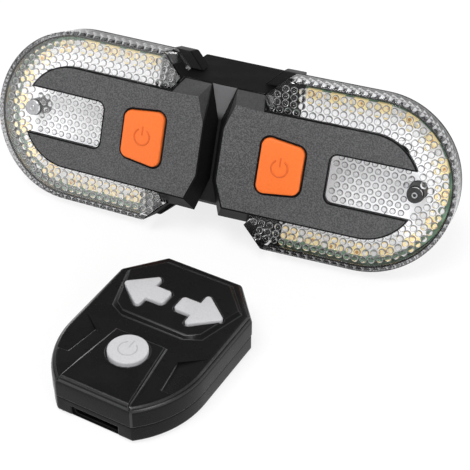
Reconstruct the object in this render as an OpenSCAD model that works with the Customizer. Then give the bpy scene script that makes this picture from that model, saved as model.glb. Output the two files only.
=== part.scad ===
// Bicycle turn signal light: two swept lamp pods on a seat-post block, with a wireless handlebar remote.
// The light stands on the rims of its pods and leans back on its block. The remote lies in front of it.
// A pod is drawn with its face towards +Z and its round end towards +X, measured from the centre plane.

/* [Lamp pods] */
// Half-height of a pod, also the radius of its round end
pod_r = 23.2; // [22:0.1:25]
// Distance from the centre plane to the middle of the round end
end_x = 42; // [40:0.5:50]
// Backward sweep of each pod, in degrees
sweep = 3.5; // [2:0.1:5]
// Backward lean of the standing light, in degrees
lean = 24; // [22:0.5:27]
// Thickness of the lens's face
lens_wall = 2; // [1.4:0.1:2.4]
// Thickness of the lens's side wall
lens_side = 1.2; // [0.9:0.1:1.6]
// Thickness of the seal under the lens
seal_t = 0.8; // [0.4:0.1:1.2]
// Depth of the lens, from its face to its back edge
lens_depth = 9.2; // [9:0.1:12]
// Rounding of the lens's outer front edge
lens_edge = 0.8; // [0.5:0.1:1.2]
// Depth of the rear housing behind the lens
tray_depth = 7.2; // [6.8:0.1:10]
// Wall of the rear housing
tray_wall = 2; // [1.4:0.1:2.2]
// Straight rim of the rear housing, before its taper
rim_t = 0.8; // [0.4:0.1:1.4]
// Slope of the rear housing's tapered back, as inset per depth
tray_taper = 0.9; // [0.7:0.05:1]

/* [Front panel] */
// Half-height of the fork-shaped panel
panel_r = 14; // [13.4:0.1:15]
// Height of the panel over the lens face
panel_t = 1.6; // [1.2:0.1:2.2]
// Half-height of the window between the prongs
slot_half = 6.4; // [5:0.1:7]
// Distance from the centre plane to the window's inner end
slot_x = 32; // [31:0.5:35]
// Corner radius of the window
slot_corner = 2; // [0.5:0.1:3]
// Half-height of the neck at its base
neck_half = 17.4; // [16.8:0.1:18]
// Depth of the neck
neck_depth = 4.6; // [4.2:0.1:5.4]
// Wall of the neck
neck_wall = 1.8; // [1.2:0.1:2.2]
// Half of the gap between the two necks
nose_gap = 0.35; // [0.2:0.05:1]

/* [Power buttons] */
// Distance from the centre plane to the button's inner edge
button_x = 13.7; // [13:0.1:14.5]
// Length of the button along the pod
button_len = 11.6; // [10:0.1:12.5]
// Half-height of the button's inner edge
button_in_half = 7.4; // [6:0.1:8]
// Half-height of the button's outer edge
button_out_half = 6.5; // [5.5:0.1:7.4]
// Corner radius of the button
button_corner = 2.2; // [1:0.1:3]
// Height of the button over the panel
button_proud = 0.9; // [0.6:0.1:1.6]
// Travel of the button
button_travel = 0.8; // [0.4:0.1:1]

/* [Lamps] */
// Number of lamps along each straight row
row_lamps = 4; // [2:1:5]
// Number of lamps round the end
arc_lamps = 7; // [3:1:9]
// Pitch of the lamps in a straight row
lamp_pitch = 6.2; // [5:0.1:6.3]
// Distance of the lamp row inside the lens's side wall
lamp_in = 2.8; // [2.4:0.1:3.4]
// Height of a lamp over its board
lamp_h = 1.6; // [1:0.1:2.2]
// Thickness of the boards and of the reflector
board_t = 1; // [0.8:0.1:1.4]

/* [Mount block] */
// Half-width of the block
block_w = 14; // [13.6:0.1:14.4]
// Height of the block's rear top edge over the light's middle line
block_top = 20.7; // [19.8:0.1:21.4]
// Depth of the block behind the panel's face
block_back = 27; // [26:0.1:29]
// Depth of the saddle behind the panel's face
saddle_back = 36; // [35:0.1:38]
// Radius of the seat post that the saddle fits
post_r = 13.6; // [12.7:0.1:13.8]
// Thickness of the rubber saddle pad
pad_t = 1.6; // [1:0.1:1.8]
// Half of the angle that the saddle spans
saddle_half = 58; // [55:1:60]
// Radius of the strap pegs
peg_r = 2.2; // [1.5:0.1:2.6]
// Length of the strap pegs
peg_len = 4.8; // [4:0.1:6]

/* [Remote] */
// Half-width of the remote
rem_half = 19.2; // [18.4:0.1:21]
// Length of the remote
rem_len = 51; // [49:0.2:56]
// Half-width of the straight back edge
rem_back_half = 10.8; // [8:0.1:12]
// Length of the cut back corners
rem_back_cut = 9.9; // [8:0.1:11]
// Half-width of the front edge
rem_front_half = 10.6; // [9:0.1:12]
// Where the sides begin to round in, ahead of the middle
rem_round_y = 7; // [5:0.5:9]
// Height of the seam between the two shells
rem_seam = 5.2; // [5:0.1:6]
// Height of the shoulder of the top shell
rem_top = 11.3; // [11:0.1:12]
// Wall of the shells
rem_wall = 1.6; // [1.2:0.1:1.9]
// Rounding of the top shell's edge
rem_edge = 1.8; // [1:0.1:2.2]
// Rise of the plateau that carries the arrow buttons
rem_rise = 0.9; // [0.6:0.1:1.6]
// Radius of the round button
mode_r = 5; // [4:0.1:5.6]
// Width of the strap tunnel
tunnel_w = 12; // [8:0.5:14]
// Height of the strap tunnel
tunnel_h = 2.2; // [1.4:0.1:2.4]
// Radius of the coin cell
cell_r = 10; // [8:0.1:10.2]
// Travel of the remote's buttons
key_travel = 0.5; // [0.2:0.1:0.6]
// Sideways place of the remote
rem_x = 5.8; // [-20:0.1:30]
// Distance of the remote ahead of the light's face
rem_ahead = 51.7; // [50:0.1:80]
// Turn of the remote about the vertical, in degrees
rem_turn = -8.6; // [-30:0.2:0]

/* [Fits] */
// Gap round the power buttons and the remote's buttons
key_gap = 0.25; // [0.15:0.05:0.4]
// Gap between neighbouring fixed pieces
seat_gap = 0.1; // [0.05:0.01:0.15]
// Gap between the pods and the mount block
block_gap = 0.3; // [0.2:0.05:0.5]
// Radial clearance of pins and screws
pin_gap = 0.05; // [0.03:0.01:0.09]

/* [Hidden] */
$fn = 64;

left = -1;
right = 1;
// Overshoot of a cut past the solid that it cuts
over = 1;
// Reach of the half-space cuts, larger than the whole light
far = 200;

// Levels of a pod, measured from the panel's face
lens_face = -panel_t;
lens_under = lens_face - lens_wall;
rim_z = lens_face - lens_depth;
floor_z = rim_z - tray_depth;
floor_in = floor_z + tray_wall;
board_top = rim_z + board_t;

// Radii of the pieces inside a pod
lens_in_r = pod_r - lens_side;
lens_in_edge = 0.4;
board_out_r = lens_in_r - 2 * seat_gap;
board_in_r = 16;
board_edge = 1.6;
seal_in = 0.2;
seal_lip = 0.3;
reflector_r = board_out_r - board_edge;
lamp_r = lens_in_r - lamp_in;
ledge_r = board_out_r - 1.2;
tray_back_r = pod_r - (tray_depth - rim_t) * tray_taper;

// Corners of the lens's cut inner ends, seen from the front
end_face_x = panel_r;
end_point_x = 11.8;
end_tip_x = 17.6;
end_wall = 1.6;
end_reach = 5;
end_slope = (end_tip_x - end_point_x) / (pod_r - neck_half);
// How far the housing's black shoulder reaches past the lens's end
shoulder = 3.8;
low_shoulder = 1.5;
shoulder_end = 19;
shoulder_depth = 5;

// Rear housing: ribs under the boards, posts for the screws
rib_y = 11;
rib_t = 2.4;
rib_short = 3;
inner_wall = 1.5;
post_wall = 1.2;
screw_r = 1.1;
screw_head_r = 2.2;
screw_head_t = 1.4;
pod_post_r = screw_r + pin_gap + post_wall;
window_post_in = 1.4;
window_post_x = end_x + panel_r - window_post_in;
prong_post_in = 0.6;
prong_post = [end_x + panel_r / 2, (panel_r + slot_half) / 2 - prong_post_in];

// Central opening of the lens behind the panel's solid part
open_x = slot_x - 2.5;
open_half = 10.6;

// Control board, its switch and the charging socket on its back
board_in = 3.4;
board_x = block_w + board_in;
board_end = open_x - 1;
control_half = rib_y + 1;
lamp_size = [3.5, 2.6];
lamp_gap = 0.2;
row_start = end_x - (row_lamps - 1) * lamp_pitch - lamp_size[0] / 2 - 0.9;
reflector_t = 0.8;
window_head_r = 2;
window_head_t = 1.1;
window_screw_len = 8;
window_tip = lens_under - window_screw_len;
switch_x = button_x + button_len / 2 + 0.6;
switch_size = 4.5;
plunger_r = 1.2;
flange = 1;
flange_t = 1;
flange_top = lens_face - 0.2;
stem_r = 2;
stem_gap = 0.15;
stem_end = flange_top - flange_t - 1.2;
plunger_top = stem_end - button_travel - stem_gap;
switch_top = plunger_top - 1;
socket_in = 3.6;
socket_x = board_end - socket_in;
socket_t = 3.2;
socket_half = 4.45;
socket_gap = 0.25;
socket_sink = 0.6;

// Battery between the ribs, clear of the socket and the posts
cell_x = board_end + 1.8;
cell_end = prong_post[0] - pod_post_r - 1;
cell_half = rib_y - 1;
cell_t = rim_z - floor_in - 0.6;

// Port cover: a rubber flap on stub pins between two lugs
cover_len = 8;
cover_half = 6.4;
cover_t = 1.3;
cover_lift = 0.15;
cover_pin_r = 0.5;
lug_t = 1.4;
cover_x = socket_x + cover_len / 2;
cover_z = floor_z - cover_lift - cover_t / 2;

// Standing height: the lowest points of the two round rims touch the floor
rim_low = rim_t - rim_z;
light_z = pod_r * sqrt(pow(cos(lean), 2) + pow(sin(sweep) * sin(lean), 2))
    + (rim_low * cos(sweep) + end_x * sin(sweep)) * sin(lean);

// Mount block: its rear lower edge touches the floor too
block_low = (light_z - block_back * sin(lean)) / cos(lean);
block_front = neck_depth / cos(sweep) + seat_gap;
block_side_z = block_front + block_w * tan(sweep);
groove_r = post_r + pad_t + seat_gap / 2;
groove_z = -saddle_back - groove_r * cos(saddle_half);
saddle_drop = 0.35;
saddle_foot = 1;
saddle_top = block_top - (saddle_back - block_back) * saddle_drop;
saddle_low = (light_z - saddle_back * sin(lean)) / cos(lean) - saddle_foot;
top_slope = atan((block_top - neck_half) / (block_back - block_front));
pocket_wall = 2.6;
// Cut under the block's front, which opens the gap between the necks
notch_rise = 3.4;
notch_angle = 20;
pocket_floor = 19;
peg_y = 6;
peg_in = 4.6;
peg_z = peg_in - saddle_back;
peg_head_r = peg_r + 0.9;
peg_head_t = 1.2;
block_screw = [7.6, 8.6];
block_screw_r = 1.4;
block_head_r = 2.6;
block_head_t = 1.8;
block_seat_z = -pocket_floor - 2.4;
neck_boss_r = 3;
neck_pilot_z = -1.4;

// Neck outline on the panel's face and at its base
nose_face_x = 2.6;
nose_face_half = 7;
nose_face_cut = 5.3;
nose_base_x = nose_gap + neck_depth * sin(sweep);
nose_base_half = 8;
nose_base_cut = 3.7;
neck_corner = 0.8;

// Remote: levels inside it
rem_y0 = -rem_len / 2;
rem_y1 = rem_len / 2;
rem_draft = 0.15;
rem_foot = 1;
tunnel_z = 0.9;
rem_floor = tunnel_z + tunnel_h + 0.8;
cell_h = 3.2;
cell_y = -3;
rem_cell_z = rem_floor + seat_gap;
rem_board_z = rem_cell_z + cell_h + 0.2;
rem_board_t = 0.8;
dome_h = 0.6;
dome_top = rem_board_z + rem_board_t + dome_h;
plateau_top = rem_top + rem_rise;
rem_in_top = rem_top - rem_wall;
key_flange = 0.9;
key_flange_t = 0.5;
key_bottom = dome_top + key_travel + seat_gap;
flange_space = key_bottom + key_flange_t + seat_gap;
key_proud = 0.6;
key_top = plateau_top + key_proud;
strip_rise = 0.8;
mode_top = rem_top + strip_rise + key_proud + 0.3;
mode_in = 15.3;
mode_y = rem_y0 + mode_in;
arrow_in = 15.5;
arrow_y = rem_y1 - arrow_in;
arrow_tip = 14;
arrow_barb = 6.4;
arrow_tail = 1.5;
arrow_head_half = 5.6;
arrow_shaft_half = 2.5;
plateau_ahead = 9.6;
strip_side = 2.6;
plateau_y = arrow_y - plateau_ahead;
plateau_in = 2.6;
plateau_front = 9;
plateau_corner = 12.8;
scoop_in = 6.5;
scoop_out = 8;
scoop_tip = 3.2;
scoop_front = 6.3;
scoop_back = 7.7;
scoop_x = [mode_r + scoop_in, mode_r + scoop_out, rem_half - rem_edge];
scoop_y = [mode_y + scoop_tip, mode_y - scoop_front, mode_y + scoop_back];
scoop = [[scoop_x[0], scoop_y[0]], [scoop_x[1], scoop_y[1]], [scoop_x[2], scoop_y[1]], [scoop_x[2], scoop_y[2]]];
scoop_slope = 7;
edge_steps = [0, 30, 60, 90];
rem_post_r = 2.3;
rem_screw_r = 1;
rem_head_r = 1.9;
rem_head_t = 1.3;
rem_post_in = 5;
back_post_y = rem_y1 - rem_back_cut - 1.2;
front_post_ahead = 10.5;
front_post_y = rem_y0 + front_post_ahead;
rem_posts = [[rem_half - rem_post_in, back_post_y], [rem_front_half + 0.8, front_post_y]];
slot_w = 13;
slot_h = 3;
slot_d = 1.2;
clip_t = 0.4;

// The whole group is centred on the floor, from the saddle's rear edge to the remote's front edge
group_back = saddle_top * sin(lean) + saddle_back * cos(lean);
group_front = -rem_ahead - rem_len / 2 * cos(rem_turn) - rem_front_half * sin(abs(rem_turn));
light_y = -(group_back + group_front) / 2;

// Frames
module in_light() {
    translate([0, light_y, light_z])
        rotate([90 - lean, 0, 0])
            children();
}

module in_pod(side) {
    in_light()
        mirror([side < 0 ? 1 : 0, 0, 0])
            rotate([0, sweep, 0])
                children();
}

module in_remote() {
    translate([rem_x, light_y - rem_ahead, 0])
        rotate([0, 0, rem_turn])
            children();
}

// From a pod's frame back to the light's frame
module unswept() {
    rotate([0, -sweep, 0])
        children();
}

module both_ways() {
    children();
    mirror([0, 1, 0])
        children();
}

module both_sides() {
    children();
    mirror([1, 0, 0])
        children();
}

// A convex outline with equal round corners, given by the corners' centres in anticlockwise order
function edge_normal(a, b) = [b[1] - a[1], a[0] - b[0]] / norm(b - a);

module rounded(centres, r) {
    n = len(centres);
    // The flats lie a hair inside the arcs, so that the two cross and don't just touch
    flat_r = r - 0.005;
    polygon([for (i = [0 : n - 1], e = [n - 1, 0])
        centres[i] + flat_r * edge_normal(centres[(i + e) % n], centres[(i + e + 1) % n])]);
    for (c = centres)
        translate(c)
            circle(r);
}

// A stadium from x to the round end, open to the inner side
module stadium(x, r) {
    translate([x, -r])
        square([end_x - x, 2 * r]);
    intersection() {
        translate([end_x, 0])
            circle(r);
        translate([x, -r - over])
            square(far);
    }
}

// Sweeps a half-section along the pod's U: radius to the right, height up
module around_pod() {
    translate([end_x, 0, 0])
        rotate([0, 0, -90])
            rotate_extrude(angle = 180)
                children();
    both_ways()
        rotate([90, 0, 90])
            linear_extrude(end_x)
                children();
}

// Space of the mount block behind the necks, in the pod's frame
module block_space(gap) {
    unswept()
        difference() {
            translate([-far, -block_low - gap, -far])
                cube([far + block_w + gap, block_low + block_top + 2 * gap, far - block_front + 0.2]);
            above_block(gap);
        }
}

// Everything over the block's sloping top
module above_block(gap) {
    translate([-far, neck_half + gap, -block_front])
        rotate([top_slope, 0, 0])
            translate([0, 0, -far])
                cube([2 * far, far, 2 * far]);
}

// Region inside of the lens's cut ends, seen from the front
module end_region(shift) {
    top_y = pod_r + end_reach;
    top_x = end_tip_x + end_slope * (top_y - pod_r);
    half = [[top_x, top_y], [end_point_x, neck_half], [end_face_x, panel_r]];
    upper = [for (p = half) p + [shift, 0]];
    lower = [for (i = [2 : -1 : 0]) [upper[i][0], -upper[i][1]]];
    polygon(concat([[-far, top_y]], upper, lower, [[-far, -top_y]]));
}

module half_section(r, low, high, corner) {
    difference() {
        translate([0, low])
            square([r, high - low]);
        translate([r - corner, high - corner])
            difference() {
                square(corner + over);
                circle(corner);
            }
    }
}

module at_prong_posts() {
    both_ways()
        translate([prong_post[0], prong_post[1], 0])
            children();
}

module upright(r, low, high) {
    translate([0, 0, low])
        cylinder(r = r, h = high - low);
}

module slab(outline_low, outline_high) {
    translate([0, 0, outline_low])
        linear_extrude(outline_high - outline_low)
            children();
}

// Pod pieces
module pod_lens() {
    difference() {
        around_pod()
            half_section(pod_r, rim_z, lens_face, lens_edge);
        difference() {
            around_pod()
                half_section(lens_in_r, rim_z - over, lens_under, lens_in_edge);
            slab(rim_z - over, over)
                end_region(end_wall);
        }
        slab(rim_z - over, over)
            end_region(0);
        translate([-over, -open_half, rim_z - over])
            cube([open_x + over, 2 * open_half, lens_depth + 2 * over]);
        block_space(block_gap);
        seal_space();
        at_prong_posts()
            upright(pod_post_r + key_gap, lens_under - over, over);
        translate([window_post_x, 0, 0]) {
            upright(screw_r + pin_gap, lens_under - over, over);
            upright(window_head_r + pin_gap, lens_face - window_head_t - seat_gap, over);
        }
    }
}

// Pale seal between the lens and the rear housing
module pod_seal() {
    difference() {
        slab(rim_z, rim_z + seal_t)
            difference() {
                stadium(0, pod_r - seal_in);
                stadium(-over, lens_in_r + seal_lip + seal_in / 2);
                end_region(seal_in);
            }
        block_space(block_gap);
    }
}

// Room for the seal under the lens's side wall
module seal_space() {
    slab(rim_z - over, rim_z + seal_t)
        difference() {
            stadium(-over, pod_r + over);
            stadium(-2 * over, lens_in_r + seal_lip);
        }
}

module tray_section() {
    polygon([[0, floor_z], [tray_back_r, floor_z], [pod_r, rim_z - rim_t], [pod_r, rim_z], [0, rim_z]]);
}

module tray_hollow() {
    hollow_r = tray_back_r - tray_wall * 0.6;
    polygon([[0, floor_in], [hollow_r, floor_in], [ledge_r, rim_z - rim_t], [ledge_r, rim_z + over],
        [0, rim_z + over]]);
}

module shoulder_cut() {
    slab(floor_z - over, over)
        end_cut(0);
    block_space(block_gap);
}

// Inner end of the housing: a long shoulder above and a short one below
module end_cut(shift) {
    intersection() {
        end_region(shift - shoulder);
        translate([-far, 0])
            square([2 * far, far]);
    }
    intersection() {
        end_region(shift - low_shoulder);
        translate([-far, -far])
            square([2 * far, far]);
    }
}

// The upper shoulder keeps its full height behind the rim, where the tray tapers
module shoulder_block() {
    translate([0, neck_half, rim_z - shoulder_depth])
        cube([shoulder_end, pod_r - neck_half, shoulder_depth]);
}

module housing_posts() {
    at_prong_posts()
        upright(pod_post_r, floor_in - over, lens_under - 0.5);
    translate([window_post_x, 0, 0])
        upright(pod_post_r, floor_in - over, lens_under - seat_gap);
    both_ways()
        translate([block_w, rib_y, floor_in - over])
            cube([prong_post[0] - rib_short - block_w, rib_t, rim_z - floor_in + over]);
}

module screw_space(x, y) {
    translate([x, y, 0]) {
        upright(screw_r + pin_gap, floor_z - over, 0);
        upright(screw_head_r + pin_gap, floor_z - over, floor_z + screw_head_t);
    }
}

module cover_lugs() {
    both_ways()
        translate([cover_x - lug_t / 2, cover_half + seat_gap, cover_z - cover_t / 2])
            difference() {
                cube([lug_t, lug_t, floor_z - cover_z + cover_t / 2 + over]);
                translate([lug_t / 2, -over, cover_t / 2])
                    rotate([-90, 0, 0])
                        cylinder(r = cover_pin_r + pin_gap, h = lug_t + 2 * over);
            }
}

module pod_housing() {
    difference() {
        union() {
            difference() {
                around_pod()
                    tray_section();
                difference() {
                    around_pod()
                        tray_hollow();
                    slab(floor_z - over, over)
                        end_cut(end_wall);
                    block_space(block_gap + inner_wall);
                }
            }
            shoulder_block();
            housing_posts();
            cover_lugs();
        }
        shoulder_cut();
        translate([window_post_x, 0, 0])
            upright(screw_r + pin_gap, window_tip - seat_gap, over);
        both_ways()
            screw_space(prong_post[0], prong_post[1]);
        translate([socket_x - socket_t / 2 - socket_gap, -socket_half - socket_gap, floor_z - over])
            cube([socket_t + 2 * socket_gap, 2 * (socket_half + socket_gap), tray_wall + 2 * over]);
    }
}

module window_slot() {
    rounded([[slot_x + slot_corner, slot_corner - slot_half], [end_x + panel_r + slot_corner, slot_corner - slot_half],
        [end_x + panel_r + slot_corner, slot_half - slot_corner], [slot_x + slot_corner, slot_half - slot_corner]],
        slot_corner);
}

module button_outline(grow) {
    r = button_corner;
    x0 = button_x + r;
    x1 = button_x + button_len - r;
    rounded([[x0, r - button_in_half], [x1, r - button_out_half], [x1, button_out_half - r],
        [x0, button_in_half - r]], r + grow);
}

// Outline of the neck at one level, anticlockwise from the nose
function neck_ring(nose_x, nose_half, cut_x, half, corner_x, corner_half) =
    let (lower = [[nose_x, -nose_half], [cut_x, -half], [corner_x, -half], [end_face_x, -corner_half]])
    concat(lower, [for (i = [3 : -1 : 0]) [lower[i][0], -lower[i][1]]]);

function neck_base(inset) = neck_ring(nose_base_x + inset, nose_base_half, nose_base_cut + inset,
    neck_half - inset, end_point_x - inset, panel_r - inset);

function neck_face(inset) = neck_ring(nose_face_x + inset, nose_face_half, nose_face_cut + inset,
    panel_r - inset, end_face_x - neck_corner - inset, panel_r - neck_corner - inset);

// A solid between two outlines with the same number of corners
function at_height(points, z) = [for (p = points) [p[0], p[1], z]];

module loft(low_points, low, high_points, high) {
    n = len(low_points);
    side = [for (i = [0 : n - 1]) [i, n + i, n + (i + 1) % n, (i + 1) % n]];
    polyhedron(concat(at_height(low_points, low), at_height(high_points, high)),
        concat([[for (i = [0 : n - 1]) i]], [[for (i = [n - 1 : -1 : 0]) n + i]],
            [for (f = side) [f[0], f[1], f[2]]], [for (f = side) [f[0], f[2], f[3]]]));
}

module neck_screws() {
    unswept()
        both_ways()
            translate([block_screw[0], block_screw[1], 0])
                children();
}

module pod_panel() {
    difference() {
        union() {
            slab(lens_face, 0)
                difference() {
                    stadium(end_face_x - 2 * neck_corner, panel_r);
                    window_slot();
                }
            difference() {
                loft(neck_base(0), -neck_depth, neck_face(0), 0);
                difference() {
                    loft(neck_base(neck_wall), -neck_depth - over, neck_face(neck_wall), -neck_wall);
                    neck_screws()
                        upright(neck_boss_r, -neck_depth - over, 0);
                }
            }
            at_prong_posts()
                upright(pod_post_r, lens_under - 0.4, lens_face);
        }
        slab(-neck_depth - over, over)
            button_outline(key_gap);
        slab(-neck_depth - over, lens_face)
            button_outline(flange + key_gap);
        neck_screws()
            upright(block_screw_r + pin_gap, -neck_depth - over, neck_pilot_z);
        at_prong_posts()
            upright(screw_r + pin_gap, lens_under - over, -0.6);
    }
}

module pod_reflector() {
    low = board_top + seat_gap;
    opening = control_half + 0.3;
    slab(low, low + reflector_t)
        difference() {
            stadium(row_start, reflector_r);
            translate([row_start - over, -opening])
                square([board_end + 0.4 - row_start + over, 2 * opening]);
            at_lamps()
                translate([-lamp_size[0] / 2 - lamp_gap, -lamp_size[1] / 2 - lamp_gap])
                    square([lamp_size[0] + 2 * lamp_gap, lamp_size[1] + 2 * lamp_gap + over]);
            translate([window_post_x, 0])
                circle(pod_post_r + key_gap);
            at_prong_posts()
                circle(pod_post_r + key_gap);
        }
}

module pod_led_board() {
    slab(rim_z, board_top)
        difference() {
            stadium(row_start, board_out_r);
            stadium(row_start - over, board_in_r);
        }
}

// The lamps' places along the pod's U, each with its outer side towards +Y
module at_lamps() {
    both_ways()
        for (i = [0 : row_lamps - 1])
            translate([end_x - i * lamp_pitch, lamp_r, 0])
                children();
    step = 180 / (arc_lamps + 1);
    for (i = [1 : arc_lamps])
        translate([end_x, 0, 0])
            rotate([0, 0, 90 - i * step])
                translate([lamp_r, 0, 0])
                    rotate([0, 0, -90])
                        children();
}

module pod_lamps() {
    at_lamps()
        translate([-lamp_size[0] / 2, -lamp_size[1] / 2, board_top])
            cube([lamp_size[0], lamp_size[1], lamp_h]);
}

module pod_control_board() {
    slab(rim_z, board_top)
        translate([board_x, -control_half])
            square([board_end - board_x, 2 * control_half]);
}

module pod_switch() {
    translate([switch_x - switch_size / 2, -switch_size / 2, board_top])
        cube([switch_size, switch_size, switch_top - board_top]);
    translate([switch_x, 0, 0])
        upright(plunger_r, switch_top, plunger_top);
}

module pod_button() {
    slab(flange_top - flange_t, button_proud)
        button_outline(0);
    slab(flange_top - flange_t, flange_top)
        button_outline(flange);
    translate([switch_x, 0, 0])
        upright(stem_r, stem_end, flange_top);
}

module pod_battery() {
    r = 1;
    slab(floor_in, floor_in + cell_t)
        rounded([[cell_x + r, r - cell_half], [cell_end - r, r - cell_half], [cell_end - r, cell_half - r],
            [cell_x + r, cell_half - r]], r);
}

module pod_socket() {
    mouth_half = 4.1;
    mouth_t = 2.4;
    tongue_t = 0.7;
    mouth_depth = 4.6;
    back_z = floor_z + socket_sink;
    difference() {
        translate([socket_x - socket_t / 2, -socket_half, back_z])
            cube([socket_t, 2 * socket_half, rim_z - back_z]);
        difference() {
            translate([socket_x - mouth_t / 2, -mouth_half, back_z - over])
                cube([mouth_t, 2 * mouth_half, mouth_depth + over]);
            translate([socket_x - tongue_t / 2, -mouth_half + 1, back_z])
                cube([tongue_t, 2 * mouth_half - 2, mouth_depth + over]);
        }
    }
}

module pod_cover() {
    finger = 1.2;
    translate([cover_x - cover_len, -cover_half, cover_z - cover_t / 2])
        cube([cover_len, 2 * cover_half, cover_t]);
    translate([cover_x - cover_len - finger, -cover_half / 2, cover_z - cover_t / 2])
        cube([finger, cover_half, cover_t / 2]);
    translate([cover_x, -cover_half - lug_t, cover_z])
        rotate([-90, 0, 0])
            cylinder(r = cover_pin_r, h = 2 * (cover_half + lug_t));
}

module pod_screw(x, y, tip) {
    translate([x, y, 0]) {
        upright(screw_r, floor_z + 0.2, tip);
        upright(screw_head_r, floor_z + 0.2, floor_z + screw_head_t);
    }
}

module pod_screws() {
    translate([window_post_x, 0, 0]) {
        upright(screw_r, window_tip, lens_face - seat_gap);
        upright(window_head_r, lens_face - window_head_t, lens_face - seat_gap);
    }
    both_ways()
        pod_screw(prong_post[0], prong_post[1], -0.8);
}

// Mount block pieces
module block_plan() {
    polygon([[-block_w, -block_side_z], [0, -block_front], [block_w, -block_side_z], [block_w, -block_back],
        [-block_w, -block_back]]);
}

module saddle_plan() {
    translate([-block_w, -saddle_back])
        square([2 * block_w, saddle_back - block_back + over]);
}

module along_height(low, high) {
    translate([0, high, 0])
        rotate([90, 0, 0])
            linear_extrude(high - low)
                children();
}

module strap_peg() {
    translate([block_w - over, peg_y, peg_z])
        rotate([0, 90, 0]) {
            cylinder(r = peg_r, h = peg_len + over);
            translate([0, 0, peg_len + over - peg_head_t])
                cylinder(r = peg_head_r, h = peg_head_t);
        }
}

module at_block_screws() {
    both_sides()
        both_ways()
            translate([block_screw[0], block_screw[1], 0])
                children();
}

module mount_block() {
    pocket_x = 4.4;
    color([0.13, 0.13, 0.14])
        in_light()
            difference() {
                union() {
                    along_height(-block_low, block_top)
                        block_plan();
                    along_height(-saddle_low, saddle_top)
                        saddle_plan();
                    both_sides()
                        both_ways()
                            strap_peg();
                }
                along_height(-block_low - over, block_top + over)
                    translate([0, groove_z])
                        circle(groove_r);
                above_block(0);
                translate([-block_w - over, notch_rise - block_low, -block_front])
                    rotate([-notch_angle, 0, 0])
                        translate([0, -far, -block_back])
                            cube([2 * (block_w + over), far, block_back + over]);
                both_sides()
                    difference() {
                        translate([pocket_x, -block_low + notch_rise + pocket_wall, -pocket_floor])
                            cube([block_w - pocket_wall - pocket_x,
                                neck_half + block_low - notch_rise - 2 * pocket_wall, pocket_floor]);
                        both_ways()
                            translate([block_screw[0], block_screw[1], 0])
                                upright(neck_boss_r, -pocket_floor - over, 0);
                    }
                at_block_screws() {
                    upright(block_screw_r + pin_gap, -far, 0);
                    upright(block_head_r + pin_gap, -far, block_seat_z);
                }
            }
}

module saddle_pad() {
    inset = 1;
    reach = groove_r + over;
    color([0.09, 0.09, 0.09])
        in_light()
            along_height(-saddle_low + inset, saddle_top - inset)
                translate([0, groove_z])
                    intersection() {
                        difference() {
                            circle(post_r + pad_t);
                            circle(post_r);
                        }
                        polygon([[0, 0], [reach * tan(saddle_half), reach], [-reach * tan(saddle_half), reach]]);
                    }
}

module block_screws() {
    color("silver")
        in_light()
            at_block_screws() {
                upright(block_screw_r, block_seat_z, neck_pilot_z - 0.6);
                upright(block_head_r, block_seat_z - block_head_t, block_seat_z);
            }
}

// Remote pieces
module remote_outline(inset) {
    half = rem_half - inset;
    front = rem_front_half - inset / 2;
    back = rem_back_half - inset / 2;
    y0 = rem_y0 + inset;
    y1 = rem_y1 - inset;
    side_y = rem_y1 - rem_back_cut - inset / 4;
    dx = half - front;
    dy = -rem_round_y - y0;
    r = (dx * dx + dy * dy) / (2 * dx);
    intersection() {
        polygon([[-half, y0], [half, y0], [half, side_y], [back, y1], [-back, y1], [-half, side_y]]);
        union() {
            translate([-half, -rem_round_y])
                square([2 * half, rem_len]);
            both_sides()
                intersection() {
                    translate([half - r, -rem_round_y])
                        circle(r, $fn = 96);
                    translate([-over, -rem_len])
                        square([rem_len, rem_len - rem_round_y + over]);
                }
        }
    }
}

// Raised field that carries the arrows, with cut front corners
module plateau_outline(inset) {
    half = rem_half - plateau_in - inset;
    back = rem_back_half - plateau_in / 2 - inset / 2;
    y0 = plateau_y + inset;
    y1 = rem_y1 - plateau_in - inset;
    side_y = rem_y1 - rem_back_cut - plateau_in / 4;
    polygon([[-plateau_front, y0], [plateau_front, y0], [plateau_corner - inset, y0 + 2], [half, side_y],
        [back, y1], [-back, y1], [-half, side_y], [inset - plateau_corner, y0 + 2]]);
}

// Raised strip round the round button, wider at the front edge
module strip_outline(inset, front) {
    front_half = rem_front_half - 0.5 - inset;
    back_half = mode_r + strip_side - inset;
    y1 = mode_y + mode_r + key_gap + key_flange - inset;
    polygon([[-front_half, rem_y0 + front], [front_half, rem_y0 + front], [back_half, y1], [-back_half, y1]]);
}

// Shallow scoop beside the strip, deepest along its inner edge
module side_scoop() {
    intersection() {
        slab(rem_seam, rem_top + over)
            polygon(scoop);
        translate([scoop[2][0], 0, rem_top])
            rotate([0, -scoop_slope, 0])
                translate([-far, -far, 0])
                    cube([2 * far, 2 * far, far]);
    }
}

module arrow_outline(grow) {
    head_r = 0.9;
    tail_r = 1.1;
    barb = arrow_head_half - head_r;
    shaft = arrow_shaft_half - tail_r;
    rounded([[arrow_barb + head_r, -barb], [arrow_tip - head_r, 0], [arrow_barb + head_r, barb]], head_r + grow);
    rounded([[arrow_tail + tail_r, -shaft], [arrow_barb + 2 * tail_r, -shaft], [arrow_barb + 2 * tail_r, shaft],
        [arrow_tail + tail_r, shaft]], tail_r + grow);
}

module arrow_at(side) {
    translate([0, arrow_y])
        mirror([side < 0 ? 1 : 0, 0])
            children();
}

module at_remote_posts() {
    for (p = rem_posts, side = [left, right])
        translate([side * p[0], p[1], 0])
            children();
}

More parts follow.
